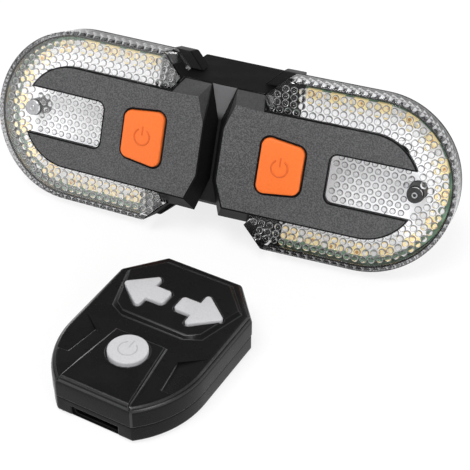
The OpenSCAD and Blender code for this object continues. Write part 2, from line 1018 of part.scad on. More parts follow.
module remote_base() {
    skin = 0.01;
    color([0.13, 0.13, 0.14])
        in_remote()
            difference() {
                hull() {
                    slab(0, skin)
                        remote_outline(rem_foot + rem_draft);
                    slab(rem_foot, rem_seam)
                        remote_outline(rem_draft);
                }
                slab(rem_floor, rem_seam + over)
                    remote_outline(rem_draft + rem_wall);
                translate([-tunnel_w / 2, -rem_len, tunnel_z])
                    cube([tunnel_w, 2 * rem_len, tunnel_h]);
                translate([-slot_w / 2, rem_y0 - over, tunnel_z + tunnel_h / 2 - slot_h / 2])
                    cube([slot_w, rem_draft + slot_d + over, slot_h]);
                at_remote_posts() {
                    upright(rem_screw_r + pin_gap, -over, rem_seam);
                    upright(rem_head_r + pin_gap, -over, rem_head_t + 0.2);
                }
            }
}

module remote_cap(inset, low) {
    skin = 0.01;
    high = rem_top - inset;
    hull() {
        slab(low, high - rem_edge)
            remote_outline(inset);
        for (a = edge_steps)
            slab(high - rem_edge * (1 - sin(a)) - skin, high - rem_edge * (1 - sin(a)))
                remote_outline(inset + rem_edge * (1 - cos(a)));
    }
}

module remote_plateau(inset) {
    hull() {
        slab(rem_in_top - inset, rem_top - inset)
            plateau_outline(inset);
        slab(plateau_top - inset - 0.01, plateau_top - inset)
            plateau_outline(inset + rem_rise);
    }
}

module remote_strip() {
    drop = rem_edge + strip_rise;
    top = rem_top + strip_rise;
    skin = 0.01;
    hull() {
        slab(rem_in_top - rem_edge, top - drop)
            strip_outline(0, 0);
        for (a = edge_steps)
            slab(top - drop * (1 - sin(a)) - skin, top - drop * (1 - sin(a)))
                strip_outline(strip_rise * sin(a), rem_edge * (1 - cos(a)));
    }
}

module remote_top_shell() {
    color([0.12, 0.12, 0.13])
        in_remote()
            difference() {
                union() {
                    difference() {
                        union() {
                            difference() {
                                remote_cap(0, rem_seam + seat_gap);
                                both_sides()
                                    side_scoop();
                            }
                            remote_plateau(0);
                            remote_strip();
                        }
                        remote_cap(rem_wall, rem_seam - over);
                        remote_plateau(rem_wall);
                    }
                    at_remote_posts()
                        upright(rem_post_r, rem_floor + seat_gap, rem_top - rem_wall / 2);
                }
                for (side = [left, right]) {
                    slab(rem_floor, plateau_top + over)
                        arrow_at(side)
                            arrow_outline(key_gap);
                    slab(rem_floor, flange_space)
                        arrow_at(side)
                            arrow_outline(key_flange + key_gap);
                }
                translate([0, mode_y, 0]) {
                    upright(mode_r + key_gap, rem_floor, plateau_top + over);
                    upright(mode_r + key_flange + key_gap, rem_floor, flange_space);
                }
                at_remote_posts()
                    upright(rem_screw_r + pin_gap, 0, rem_top - rem_wall);
            }
}

module arrow_button(side) {
    color([0.82, 0.82, 0.83])
        in_remote() {
            slab(key_bottom, key_top)
                arrow_at(side)
                    arrow_outline(0);
            slab(key_bottom, key_bottom + key_flange_t)
                arrow_at(side)
                    arrow_outline(key_flange);
        }
}

module remote_mode_button() {
    color([0.82, 0.82, 0.83])
        in_remote()
            translate([0, mode_y, 0]) {
                upright(mode_r, key_bottom, mode_top);
                upright(mode_r + key_flange, key_bottom, key_bottom + key_flange_t);
            }
}

module remote_board() {
    color([0.1, 0.35, 0.2])
        in_remote()
            slab(rem_board_z, rem_board_z + rem_board_t)
                difference() {
                    remote_outline(rem_wall + rem_draft + 1);
                    at_remote_posts()
                        circle(rem_post_r + key_gap);
                }
}

module remote_domes() {
    dome_r = 2.6;
    centres = [[0, mode_y], [-(arrow_tip + arrow_tail) / 2, arrow_y], [(arrow_tip + arrow_tail) / 2, arrow_y]];
    color("gainsboro")
        in_remote()
            for (c = centres)
                translate([c[0], c[1], 0])
                    upright(dome_r, rem_board_z + rem_board_t, dome_top);
}

module remote_coin_cell() {
    step_r = 1;
    step_h = 0.6;
    color("silver")
        in_remote()
            translate([0, cell_y, 0]) {
                upright(cell_r - step_r, rem_cell_z, rem_cell_z + cell_h);
                upright(cell_r, rem_cell_z + step_h, rem_cell_z + cell_h);
            }
}

module remote_cell_clip() {
    inner = cell_r + key_gap;
    color("gainsboro")
        in_remote()
            translate([0, cell_y, 0])
                difference() {
                    upright(inner + clip_t, rem_cell_z, rem_board_z);
                    upright(inner, rem_cell_z - over, rem_board_z + over);
                    translate([-inner - over, -far, 0])
                        cube([2 * (inner + over), far - cell_r / 2, rem_board_z + over]);
                }
}

module remote_screws() {
    color("silver")
        in_remote()
            at_remote_posts() {
                upright(rem_screw_r, 0.2, rem_top - rem_wall - 0.4);
                upright(rem_head_r, 0.2, 0.2 + rem_head_t);
            }
}

// Both pods, piece by piece
module pod_nodes(name, side) {
    color([0.11, 0.11, 0.12]) in_pod(side) pod_housing();
    color([0.8, 0.81, 0.81]) in_pod(side) pod_seal();
    color([0.9, 0.93, 0.95, 0.4]) in_pod(side) pod_lens();
    color([0.22, 0.22, 0.23]) in_pod(side) pod_panel();
    color([0.95, 0.95, 0.95]) in_pod(side) pod_reflector();
    color([0.3, 0.55, 0.35]) in_pod(side) pod_led_board();
    color([0.98, 0.72, 0.35]) in_pod(side) pod_lamps();
    color([0.1, 0.35, 0.2]) in_pod(side) pod_control_board();
    color([0.2, 0.2, 0.2]) in_pod(side) pod_switch();
    color([1, 0.52, 0.25]) in_pod(side) pod_button();
    color([0.75, 0.78, 0.82]) in_pod(side) pod_battery();
    color("silver") in_pod(side) pod_socket();
    color([0.08, 0.08, 0.08]) in_pod(side) pod_cover();
    color("silver") in_pod(side) pod_screws();
}

mount_block();
saddle_pad();
block_screws();
pod_nodes("left", left);
pod_nodes("right", right);
remote_base();
remote_top_shell();
arrow_button(left);  // remote_left_button
arrow_button(right);  // remote_right_button
remote_mode_button();
remote_board();
remote_domes();
remote_coin_cell();
remote_cell_clip();
remote_screws();
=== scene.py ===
import math

import bpy
from mathutils import Matrix, Vector
from mathutils.bvhtree import BVHTree


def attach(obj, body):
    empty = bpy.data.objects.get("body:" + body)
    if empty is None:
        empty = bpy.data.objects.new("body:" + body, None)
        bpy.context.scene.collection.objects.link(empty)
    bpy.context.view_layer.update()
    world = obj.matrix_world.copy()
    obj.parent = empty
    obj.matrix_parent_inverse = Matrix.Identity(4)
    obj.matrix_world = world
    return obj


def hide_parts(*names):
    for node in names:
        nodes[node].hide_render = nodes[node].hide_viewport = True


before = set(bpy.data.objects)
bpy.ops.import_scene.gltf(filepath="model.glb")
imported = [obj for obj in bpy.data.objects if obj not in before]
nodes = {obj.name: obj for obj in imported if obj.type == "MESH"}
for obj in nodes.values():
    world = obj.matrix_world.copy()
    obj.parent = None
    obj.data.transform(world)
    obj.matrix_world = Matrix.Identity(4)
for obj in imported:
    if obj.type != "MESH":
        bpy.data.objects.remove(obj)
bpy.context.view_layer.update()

MM = 0.001

# Placing of the light and the remote, as in the part
LEAN = math.radians(24.0)
SWEEP = math.radians(3.5)
LIGHT_Y = 19.2362
LIGHT_AT = Vector((0.0, LIGHT_Y, 26.9543)) * MM
REMOTE_AT = Vector((5.8, LIGHT_Y - 51.7, 0.0)) * MM
REMOTE_TURN = math.radians(-8.6)

# Sizes of a pod, in millimetres: x from the middle of the light, z from the panel's face
END_X = 42.0
POD_R = 23.2
LENS_IN_R = 22.0
LENS_UNDER = -3.6
RIM_Z = -10.8
PANEL_R = 14.0
PANEL_BORDER = 0.4
SLOT_X = 32.0
SLOT_HALF = 6.4
POST_X = END_X + 12.6
POST_ROOM = 3.0
SCREW_TOP = -1.7
SCREW_RING_R = 0.6
SCREW_RING_THICK = 0.32
SCREW_RING_RISE = 0.05
SHOULDER_X = 18.5

# Lamps: rows along both straight sides and an arc round the end
LAMP_R = 19.2
LAMP_TOP = -8.2
LAMP_PITCH = 6.2
ROW_LAMPS = 4
ARC_LAMPS = 7
LAMP_CORE_R = 0.5
LAMP_CORE_HEIGHT = 0.1
LAMP_CORE_GAP = 0.02

# The lens's slanted ends and the centre block between them
BLOCK_EDGE = 14.6
BLOCK_TOP = -7.4
SLOPE_TOP = -2.0
END_POINT = (11.8, 17.4)
END_TIP = (17.6, 23.2)
END_WALL_X = 13.25
END_WALL_Y = 16.8
END_WALL_TOP = 21.6
END_WALL_THICK = 0.2
END_WALL_LOW = RIM_Z + 0.5
END_WALL_HIGH = LENS_UNDER - 0.7
END_WALL_GAP = 0.05
END_TIP_CUT = 0.3
BLOCK_GAP = 0.4

# Widths of the rounded edges
HOUSING_ROUNDING = 0.4
BUTTON_ROUNDING = 0.5
KEY_ROUNDING = 0.4
REMOTE_TOP_ROUNDING = 0.34
REMOTE_TOP_CORNER = 24.0

# Power symbols: place, radius of the ring, thickness of the line and share of it that stands up
BUTTON_SYMBOL_AT = (19.4, 0.0, 0.9)
BUTTON_SYMBOL = (2.2, 0.5, 0.6)
MODE_SYMBOL_AT = (0.0, -10.2, 13.0)
MODE_SYMBOL = (2.3, 0.36, 0.4)
SYMBOL_GAP = 0.55
SYMBOL_BAR_LENGTH = 1.1
SYMBOL_BAR_AT = 0.75

LIGHT_FRAME = Matrix.Translation(LIGHT_AT) @ Matrix.Rotation(math.pi / 2 - LEAN, 4, "X")
REMOTE_FRAME = Matrix.Translation(REMOTE_AT) @ Matrix.Rotation(REMOTE_TURN, 4, "Z")


def pod_frame(side):
    """The frame of a pod; the left one is mirrored."""
    mirrored = Matrix.Scale(side, 4, Vector((1, 0, 0)))
    return LIGHT_FRAME @ mirrored @ Matrix.Rotation(SWEEP, 4, "Y")


# Helpers for modelling by hand
def only(obj):
    bpy.ops.object.select_all(action="DESELECT")
    obj.select_set(True)
    bpy.context.view_layer.objects.active = obj


def apply_modifiers(obj):
    only(obj)
    for modifier in list(obj.modifiers):
        bpy.ops.object.modifier_apply(modifier=modifier.name)


def edit(obj):
    only(obj)
    bpy.ops.object.mode_set(mode="EDIT")
    bpy.ops.mesh.select_all(action="SELECT")


def leave_edit():
    bpy.ops.object.mode_set(mode="OBJECT")


def join(objs, name):
    bpy.ops.object.select_all(action="DESELECT")
    for obj in objs:
        obj.select_set(True)
    bpy.context.view_layer.objects.active = objs[0]
    if len(objs) > 1:
        bpy.ops.object.join()
    objs[0].name = name
    return objs[0]


def settle(obj, matrix):
    """Puts a piece modelled in millimetres at its place, with the place in its mesh."""
    obj.matrix_world = matrix @ Matrix.Scale(MM, 4) @ obj.matrix_world
    only(obj)
    bpy.ops.object.transform_apply(location=True, rotation=True, scale=True)
    edit(obj)
    bpy.ops.mesh.normals_make_consistent(inside=False)
    leave_edit()


def shade(obj, smooth):
    only(obj)
    bpy.ops.object.shade_smooth_by_angle(angle=math.radians(smooth))


def give(obj, body):
    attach(obj, body)


def finish_piece(obj, body, material, smooth=35.0):
    shade(obj, smooth)
    obj.data.materials.clear()
    obj.data.materials.append(material)
    give(obj, body)


def even_shading(piece):
    """Lets the large faces set the shading, so that the rounded edges beside them don't streak it."""
    weighted = piece.modifiers.new("even_shading", "WEIGHTED_NORMAL")
    weighted.keep_sharp = True
    apply_modifiers(piece)


def copies_at(source, places):
    made = []
    for place in places:
        copy = source.copy()
        copy.data = source.data.copy()
        copy.matrix_world = place @ source.matrix_world
        bpy.context.collection.objects.link(copy)
        made.append(copy)
    return made


def stand_in(node):
    """A merged copy of a node, which then stands for the node."""
    source = nodes[node]
    piece = source.copy()
    piece.data = source.data.copy()
    piece.parent = None
    piece.matrix_world = Matrix.Identity(4)
    piece.name = node + "_rounded"
    bpy.context.collection.objects.link(piece)
    edit(piece)
    bpy.ops.mesh.customdata_custom_splitnormals_clear()
    bpy.ops.mesh.remove_doubles(threshold=0.000002)
    bpy.ops.mesh.dissolve_limited(angle_limit=math.radians(0.6))
    leave_edit()
    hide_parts(node)
    return piece


def surface_of(piece):
    corners = [vertex.co.copy() for vertex in piece.data.vertices]
    return BVHTree.FromPolygons(corners, [tuple(face.vertices) for face in piece.data.polygons])


def pull_back(piece, surface, limit):
    """Brings points that strayed from a surface back onto it."""
    for vertex in piece.data.vertices:
        nearest, _, _, distance = surface.find_nearest(vertex.co)
        if distance > limit * MM:
            vertex.co = nearest


# Shares of the full rounding, widest first, and where the faces beside an edge are felt for room
ROUNDING_SHARES = (1.0, 0.7, 0.5, 0.35, 0.25, 0.15)
PLACES_ALONG = (0.1, 0.5, 0.9)
STEPS_INWARDS = (1.1, 2.1)
MOST_OFF = 0.2
LEAST_ALIKE = 0.8
STRAY_SHARE = 0.55


def has_room(surface, start, end, side, reach):
    """Whether the face on one side of an edge goes on far enough for a rounding."""
    normal, inwards = side
    for part in PLACES_ALONG:
        for steps in STEPS_INWARDS:
            spot = start.lerp(end, part) + inwards * reach * steps
            _, facing, _, distance = surface.find_nearest(spot)
            if distance > reach * MOST_OFF or facing.dot(normal) < LEAST_ALIKE:
                return False
    return True


def sides_of_edges(mesh):
    """For each edge, its faces' normals and the directions that lead into them."""
    sides = {}
    for face in mesh.polygons:
        corners = list(face.vertices)
        for a, b in zip(corners, corners[1:] + corners[:1]):
            along = (mesh.vertices[b].co - mesh.vertices[a].co).normalized()
            side = (face.normal.copy(), face.normal.cross(along))
            sides.setdefault((min(a, b), max(a, b)), []).append(side)
    return sides


def rounding_shares(piece, surface, width, corner):
    """For each edge, the share of the full rounding that fits between the edges near it."""
    mesh = piece.data
    sides = sides_of_edges(mesh)
    shares = []
    for edge in mesh.edges:
        start, end = (mesh.vertices[i].co for i in edge.vertices)
        beside = sides[edge.key]
        fitting = 0.0
        if beside[0][0].angle(beside[-1][0], 0.0) > math.radians(corner):
            for share in ROUNDING_SHARES:
                reach = width * share * MM
                if all(has_room(surface, start, end, side, reach) for side in beside):
                    fitting = share
                    break
        shares.append(fitting)
    return shares


def round_edges(piece, width, segments, corner, edge=-1):
    """Rounds a piece's sharp edges; the rounding can take the finish in a slot of its own."""
    surface = surface_of(piece)
    weights = piece.data.attributes.new("bevel_weight_edge", "FLOAT", "EDGE")
    weights.data.foreach_set("value", rounding_shares(piece, surface, width, corner))
    bevel = piece.modifiers.new("edges", "BEVEL")
    bevel.width = width * MM
    bevel.segments = segments
    bevel.limit_method = "WEIGHT"
    bevel.use_clamp_overlap = False
    bevel.material = edge
    apply_modifiers(piece)
    pull_back(piece, surface, width * STRAY_SHARE)


def softened(node, width, segments=2, corner=30.0):
    piece = stand_in(node)
    round_edges(piece, width, segments, corner)
    return piece


# Materials
class Nodes:
    """A new material with short calls to add and link its nodes."""

    def __init__(self, name):
        self.material = bpy.data.materials.new(name)
        self.material.use_nodes = True
        self.tree = self.material.node_tree
        self.shader = self.tree.nodes["Principled BSDF"]
        self.output = self.tree.nodes["Material Output"]
        self.coords = self.tree.nodes.new("ShaderNodeTexCoord").outputs["Object"]

    def add(self, kind, **settings):
        node = self.tree.nodes.new(kind)
        for key, value in settings.items():
            setattr(node, key, value)
        return node

    def link(self, a, b):
        self.tree.links.new(a, b)

    def noise(self, scale, detail=3.0):
        node = self.add("ShaderNodeTexNoise")
        node.inputs["Scale"].default_value = scale
        node.inputs["Detail"].default_value = detail
        self.link(self.coords, node.inputs["Vector"])
        return node.outputs["Fac"]

    def ramp(self, factor, low, high, start=0.3, end=0.7):
        node = self.add("ShaderNodeValToRGB")
        node.color_ramp.elements[0].position = start
        node.color_ramp.elements[1].position = end
        node.color_ramp.elements[0].color = (*low, 1.0)
        node.color_ramp.elements[1].color = (*high, 1.0)
        self.link(factor, node.inputs["Fac"])
        return node.outputs["Color"]

    def bump(self, height, strength, distance):
        node = self.add("ShaderNodeBump")
        node.inputs["Strength"].default_value = strength
        node.inputs["Distance"].default_value = distance
        self.link(height, node.inputs["Height"])
        self.link(node.outputs["Normal"], self.shader.inputs["Normal"])


def grey(value):
    return (value, value, value * 1.03)


def moulded_plastic(name, low, high, roughness, grain, strength, gloss=0.5, spread=0.2, glow=None):
    """Plastic with a moulded grain: mottled colour, fine bumps, uneven gloss and perhaps a faint glow,
    which is painted light on a part that gives none.
    """
    m = Nodes(name)
    m.shader.inputs["Specular IOR Level"].default_value = gloss
    fine = m.noise(grain)
    broad = m.noise(grain * 0.05, 2.0)
    m.link(m.ramp(fine, low, high, 0.5 - spread, 0.5 + spread), m.shader.inputs["Base Color"])
    m.link(m.ramp(broad, (roughness - 0.05,) * 3, (roughness + 0.05,) * 3), m.shader.inputs["Roughness"])
    m.bump(fine, strength, 0.0002)
    # Painted light: a faint glow on a part that is not lit
    if glow:
        colour, brightness = glow
        m.shader.inputs["Emission Color"].default_value = (*colour, 1.0)
        m.shader.inputs["Emission Strength"].default_value = brightness
    return m.material


def shaded_below(name, low, high, start, end):
    """Plastic that is dark below one height and grained above another."""
    m = Nodes(name)
    split = m.add("ShaderNodeSeparateXYZ")
    m.link(m.coords, split.inputs[0])
    height = m.add("ShaderNodeMapRange")
    height.inputs["From Min"].default_value = start
    height.inputs["From Max"].default_value = end
    m.link(split.outputs["Z"], height.inputs["Value"])
    m.link(m.ramp(height.outputs["Result"], low, high, 0.0, 1.0), m.shader.inputs["Base Color"])
    m.shader.inputs["Roughness"].default_value = 0.5
    m.shader.inputs["Specular IOR Level"].default_value = 0.2
    m.bump(m.noise(2300.0), 0.5, 0.0002)
    return m.material


def clear_plastic(name, tint, rim=None, bend=1.49, roughness=0.02):
    """Clear plastic that lets lamp light through; with a rim colour, it is painted darker and less clear
    where it turns away, painted shade for the dark rings that refraction shows.
    """
    m = Nodes(name)
    m.shader.inputs["Base Color"].default_value = (*tint, 1.0)
    # Painted shade: darker and less clear where the surface turns from the eye
    if rim:
        turned = m.add("ShaderNodeLayerWeight")
        facing = turned.outputs["Facing"]
        m.link(m.ramp(facing, tint, rim, 0.12, 0.4), m.shader.inputs["Base Color"])
        m.link(m.ramp(facing, (1.0,) * 3, (0.35,) * 3, 0.16, 0.4), m.shader.inputs["Transmission Weight"])
    else:
        m.shader.inputs["Transmission Weight"].default_value = 1.0
    m.link(m.ramp(m.noise(700.0), (roughness,) * 3, (roughness + 0.02,) * 3), m.shader.inputs["Roughness"])
    m.shader.inputs["IOR"].default_value = bend
    light_path = m.add("ShaderNodeLightPath")
    through = m.add("ShaderNodeBsdfTransparent")
    through.inputs["Color"].default_value = (0.985, 0.985, 0.985, 1.0)
    either = m.add("ShaderNodeMath", operation="MAXIMUM")
    m.link(light_path.outputs["Is Shadow Ray"], either.inputs[0])
    m.link(light_path.outputs["Is Diffuse Ray"], either.inputs[1])
    mix = m.add("ShaderNodeMixShader")
    m.link(either.outputs[0], mix.inputs["Fac"])
    m.link(m.shader.outputs[0], mix.inputs[1])
    m.link(through.outputs[0], mix.inputs[2])
    m.link(mix.outputs[0], m.output.inputs["Surface"])
    return m.material


def metal(name, colour, roughness, grain):
    m = Nodes(name)
    m.shader.inputs["Metallic"].default_value = 1.0
    fine = m.noise(grain)
    low = tuple(c * 0.85 for c in colour)
    m.link(m.ramp(fine, low, colour), m.shader.inputs["Base Color"])
    m.link(m.ramp(fine, (roughness - 0.06,) * 3, (roughness + 0.06,) * 3), m.shader.inputs["Roughness"])
    m.bump(fine, 0.05, 0.0001)
    return m.material


panel_grain = moulded_plastic("panel_grain", grey(0.032), grey(0.094), 0.5, 2900.0, 0.7, 0.5, 0.1)
# Painted shade: a darker copy of the panel's grain for its upper chamfers
panel_painted_shade = moulded_plastic("panel_painted_shade", grey(0.018), grey(0.04), 0.5, 2300.0, 0.5)
notch_grain = shaded_below("notch_grain", grey(0.006), grey(0.12), 0.0325, 0.0345)
# Painted shade: near-black for the panel's border, sides, lower chamfers and V-walls
panel_painted_shadow = moulded_plastic("panel_painted_shadow", grey(0.005), grey(0.008), 0.4, 2600.0, 0.04, 0.04)
bar_black = moulded_plastic("bar_black", grey(0.004), grey(0.007), 0.5, 2600.0, 0.06, 0.012)
housing_black = moulded_plastic("housing_black", grey(0.01), grey(0.016), 0.45, 2600.0, 0.08, 0.1)
dark_parts = moulded_plastic("dark_parts", grey(0.012), grey(0.02), 0.4, 2600.0, 0.05)
remote_black = moulded_plastic("remote_black", grey(0.005), grey(0.007), 0.28, 3600.0, 0.05, 0.12)
# Painted highlight: a lighter, glossier black for the remote's rounded creases
remote_painted_highlight = moulded_plastic("remote_painted_highlight", grey(0.013), grey(0.022), 0.3, 3600.0, 0.05, 0.4)
rubber_black = moulded_plastic("rubber_black", grey(0.010), grey(0.016), 0.72, 1800.0, 0.12)
ORANGE_LOW = (0.78, 0.15, 0.022)
ORANGE_HIGH = (0.84, 0.17, 0.03)
button_orange = moulded_plastic("button_orange", ORANGE_LOW, ORANGE_HIGH, 0.5, 2200.0, 0.05, 0.3)
# Painted shade: a darker orange for the embossed symbol on the power buttons
PAINTED_SHADE_LOW = (0.6, 0.1, 0.014)
PAINTED_SHADE_HIGH = (0.66, 0.12, 0.018)
button_painted_shade = moulded_plastic("button_painted_shade", PAINTED_SHADE_LOW, PAINTED_SHADE_HIGH, 0.5, 2200.0, 0.05, 0.3)
key_grey = moulded_plastic("key_grey", grey(0.43), grey(0.49), 0.55, 2400.0, 0.05)
# Painted shade: a darker grey for the embossed symbol on the mode key
key_painted_shade = moulded_plastic("key_painted_shade", grey(0.32), grey(0.38), 0.55, 2400.0, 0.05)
# Painted light: a faint glow that lifts the reflector's white
PALE_PAINTED_GLOW = ((1.0, 1.0, 1.0), 0.17)
reflector_white_painted_glow = moulded_plastic("reflector_white_painted_glow", grey(0.9), grey(0.95), 0.3, 900.0, 0.03,
                                  glow=PALE_PAINTED_GLOW)
board_green = moulded_plastic("board_green", (0.16, 0.32, 0.21), (0.26, 0.44, 0.30), 0.4, 500.0, 0.05)
CREAM_LOW = (0.93, 0.76, 0.4)
CREAM_HIGH = (0.97, 0.84, 0.5)
# Painted light: a warm glow on the lamps, which are not lit
WARM_PAINTED_GLOW = ((1.0, 0.74, 0.36), 0.35)
lamp_cream_painted_glow = moulded_plastic("lamp_cream_painted_glow", CREAM_LOW, CREAM_HIGH, 0.3, 1200.0, 0.03, glow=WARM_PAINTED_GLOW)
lamp_amber = moulded_plastic("lamp_amber", (0.75, 0.36, 0.07), (0.82, 0.45, 0.12), 0.3, 1200.0, 0.03)
foil = metal("foil", (0.72, 0.74, 0.77), 0.4, 900.0)
steel = metal("steel", (0.66, 0.66, 0.67), 0.3, 1500.0)
# Painted light: a paler grey for one pod's window screw
screw_painted_light = moulded_plastic("screw_painted_light", grey(0.3), grey(0.4), 0.5, 1500.0, 0.05, 0.3)
screw_grey = moulded_plastic("screw_grey", grey(0.035), grey(0.05), 0.6, 1500.0, 0.05, 0.1)
lens_clear = clear_plastic("lens_clear", (0.99, 0.99, 0.99))
lens_wall = clear_plastic("lens_wall", (0.74, 0.74, 0.74), None, 1.12)
# Painted shade: the pillows darken towards their rims
optic_clear = clear_plastic("optic_clear", (0.99, 0.99, 0.99), (0.12, 0.125, 0.125))
optic_grey = clear_plastic("optic_grey", (0.84, 0.84, 0.84), (0.16, 0.16, 0.16))
# Painted light and shade: pale, middling and dark copies of one grey for the prisms' facets and the dark
# backing
facet_painted_light = moulded_plastic("facet_painted_light", grey(0.5), grey(0.62), 0.2, 900.0, 0.02)
facet_painted_half_shade = moulded_plastic("facet_painted_half_shade", grey(0.06), grey(0.1), 0.2, 900.0, 0.02)
facet_painted_shade = moulded_plastic("facet_painted_shade", grey(0.012), grey(0.02), 0.2, 900.0, 0.02)
seal_grey = moulded_plastic("seal_grey", grey(0.09), grey(0.13), 0.6, 1500.0, 0.06)


# Lens optics: round pillows under the face, small pyramids inside the side wall
def along_u(radius, start_x, pitch, shift):
    """Places along the pod's U at one radius, each with the direction that points outwards."""
    straight = END_X - start_x
    length = 2 * straight + math.pi * radius
    count = round(length / pitch)
    step = length / count
    places = []
    for i in range(count):
        s = (i + shift) * step
        if s < straight:
            places.append((start_x + s, radius, math.pi / 2))
        elif s < straight + math.pi * radius:
            angle = math.pi / 2 - (s - straight) / radius
            places.append((END_X + radius * math.cos(angle), radius * math.sin(angle), angle))
        else:
            places.append((END_X - (s - straight - math.pi * radius), -radius, -math.pi / 2))
    return places


# Pillows: four rows round the band and a field of them in the window
PILLOW_PITCH = 2.2
PILLOW_ROWS = 1.86
PILLOW_FIRST_R = 14.55
PILLOW_BULGE = 0.5
PILLOW_FOOT = 0.1
PILLOW_GAP = 0.03
BAND_PILLOW_R = 0.98
BAND_ROWS = 4
BAND_START_X = 13.5
BAND_START_STEP = 0.9
WINDOW_PILLOW_R = 0.86
WINDOW_ROWS = range(-3, 4)
WINDOW_COLUMNS = 14
WINDOW_START = 1.2
WINDOW_EDGE = 0.6
POST_CLEAR = 3.1

# Prisms inside the side wall
PRISM_WIDTH = 2.1
PRISM_HEIGHT = 3.2
PRISM_DEPTH = 0.85
PRISM_PITCH = PRISM_WIDTH * 1.04
PRISM_ROWS = 3
PRISM_ROW_STEP = PRISM_HEIGHT * 0.52
PRISM_TOP = LENS_UNDER - 1.3
PRISM_START_X = 18.8
PRISM_R = LENS_IN_R + 0.2
BACKING_LENGTH = PRISM_WIDTH * 1.1
BACKING_THICK = 0.08
BACKING_LOW = RIM_Z + 1.0
BACKING_HIGH = LENS_UNDER + 0.6


def band_places():
    places = []
    for row in range(BAND_ROWS):
        start_x = BAND_START_X + BAND_START_STEP * max(row - 1, 0)
        shift = 0.25 + 0.5 * (row % 2)
        radius = PILLOW_FIRST_R + row * PILLOW_ROWS
        row_places = along_u(radius, start_x, PILLOW_PITCH, shift)
        places += [(x, y) for x, y, _ in row_places if math.hypot(x - POST_X, y) > POST_CLEAR]
    return places


def window_places():
    places = []
    for row in WINDOW_ROWS:
        y = row * PILLOW_ROWS
        for column in range(WINDOW_COLUMNS):
            x = SLOT_X + WINDOW_START + PILLOW_PITCH * (column + 0.5 * (row % 2))
            in_window = abs(y) < SLOT_HALF - WINDOW_EDGE
            inside_rows = math.hypot(max(x - END_X, 0.0), y) < PILLOW_FIRST_R - PILLOW_ROWS * 0.9
            clear_of_post = math.hypot(x - POST_X, y) > POST_CLEAR
            if in_window and inside_rows and clear_of_post:
                places.append((x, y))
    return places


def pillow(radius):
    """A shallow round pad with a domed end, pointing down."""
    sphere_r = (radius * radius + PILLOW_BULGE * PILLOW_BULGE) / (2 * PILLOW_BULGE)
    cut = (0, 0, PILLOW_BULGE - sphere_r)
    bpy.ops.object.select_all(action="DESELECT")
    bpy.ops.mesh.primitive_uv_sphere_add(segments=14, ring_count=20, radius=sphere_r)
    dome = bpy.context.object
    edit(dome)
    bpy.ops.mesh.bisect(plane_co=cut, plane_no=(0, 0, 1), clear_outer=True, use_fill=True)
    bpy.ops.mesh.extrude_region_move(TRANSFORM_OT_translate={"value": (0, 0, PILLOW_FOOT)})
    bpy.ops.mesh.select_all(action="SELECT")
    bpy.ops.transform.translate(value=(0, 0, sphere_r - PILLOW_BULGE - PILLOW_FOOT))
    leave_edit()
    return dome


def prism():
    """A pyramid of unit size, its sides painted pale, middling or dark by the way they face: painted light
    and shade.
    """
    bpy.ops.object.select_all(action="DESELECT")
    bpy.ops.mesh.primitive_cone_add(vertices=4, radius1=0.5, radius2=0.0, depth=1.0)
    pyramid = bpy.context.object
    edit(pyramid)
    bpy.ops.transform.translate(value=(0, 0, 0.5))
    leave_edit()
    pyramid.data.materials.append(facet_painted_light)
    pyramid.data.materials.append(facet_painted_half_shade)
    pyramid.data.materials.append(facet_painted_shade)
    for face in pyramid.data.polygons:
        if face.normal.x > 0.0:
            face.material_index = 2
        elif face.normal.y > 0.0:
            face.material_index = 1
    return pyramid


def add_pillows(name, places, radius, material, side):
    dome = pillow(radius)
    domes = copies_at(dome, [Matrix.Translation((x, y, LENS_UNDER - PILLOW_GAP)) for x, y in places])
    bpy.data.objects.remove(dome)
    pillows = join(domes, name)
    settle(pillows, pod_frame(side))
    finish_piece(pillows, "light", material, 60.0)


def wall_prisms():
    """Rows of prisms round the wall, each row half a step on from the one above."""
    point = prism()
    size = Matrix.Diagonal((PRISM_HEIGHT, PRISM_WIDTH, PRISM_DEPTH, 1.0))
    places = []
    for row in range(PRISM_ROWS):
        level = PRISM_TOP - PRISM_ROW_STEP * row
        for x, y, angle in along_u(PRISM_R, PRISM_START_X, PRISM_PITCH, 0.25 + 0.5 * (row % 2)):
            outwards = Matrix.Rotation(angle, 4, "Z") @ Matrix.Rotation(math.pi / 2, 4, "Y")
            places.append(Matrix.Translation((x, y, level)) @ outwards @ size)
    prisms = copies_at(point, places)
    bpy.data.objects.remove(point)
    return prisms


def wall_backing():
    """Dark strips of painted shade behind the prisms, a little longer than their pitch so that they meet.
    """
    strip = plank((0.0, 0.0), (0.0, BACKING_LENGTH), BACKING_LOW, BACKING_HIGH, BACKING_THICK)
    strip.data.materials.append(facet_painted_shade)
    centred = Matrix.Translation((0, -BACKING_LENGTH / 2, 0))
    places = []
    for x, y, angle in along_u(PRISM_R - BACKING_THICK, PRISM_START_X, PRISM_WIDTH, 0.5):
        places.append(Matrix.Translation((x, y, 0)) @ Matrix.Rotation(angle, 4, "Z") @ centred)
    strips = copies_at(strip, places)
    bpy.data.objects.remove(strip)
    return strips


def add_optics(name, side):
    add_pillows(name + "_band_optics", band_places(), BAND_PILLOW_R, optic_clear, side)
    add_pillows(name + "_window_optics", window_places(), WINDOW_PILLOW_R, optic_grey, side)
    prisms = join(wall_prisms() + wall_backing(), name + "_wall_prisms")
    settle(prisms, pod_frame(side))
    shade(prisms, 10.0)
    give(prisms, "light")


def plank(start, end, low, high, thick):
    """An upright strip between two places on a pod."""
    along = Vector(end) - Vector(start)
    bpy.ops.object.select_all(action="DESELECT")
    bpy.ops.mesh.primitive_cube_add(size=1.0)
    strip = bpy.context.object
    middle = (Vector(start) + Vector(end)) / 2
    turn = Matrix.Rotation(math.atan2(along.y, along.x), 4, "Z")
    size = Matrix.Diagonal((along.length, thick, high - low, 1.0))
    strip.matrix_world = Matrix.Translation((middle.x, middle.y, (low + high) / 2)) @ turn @ size
    return strip


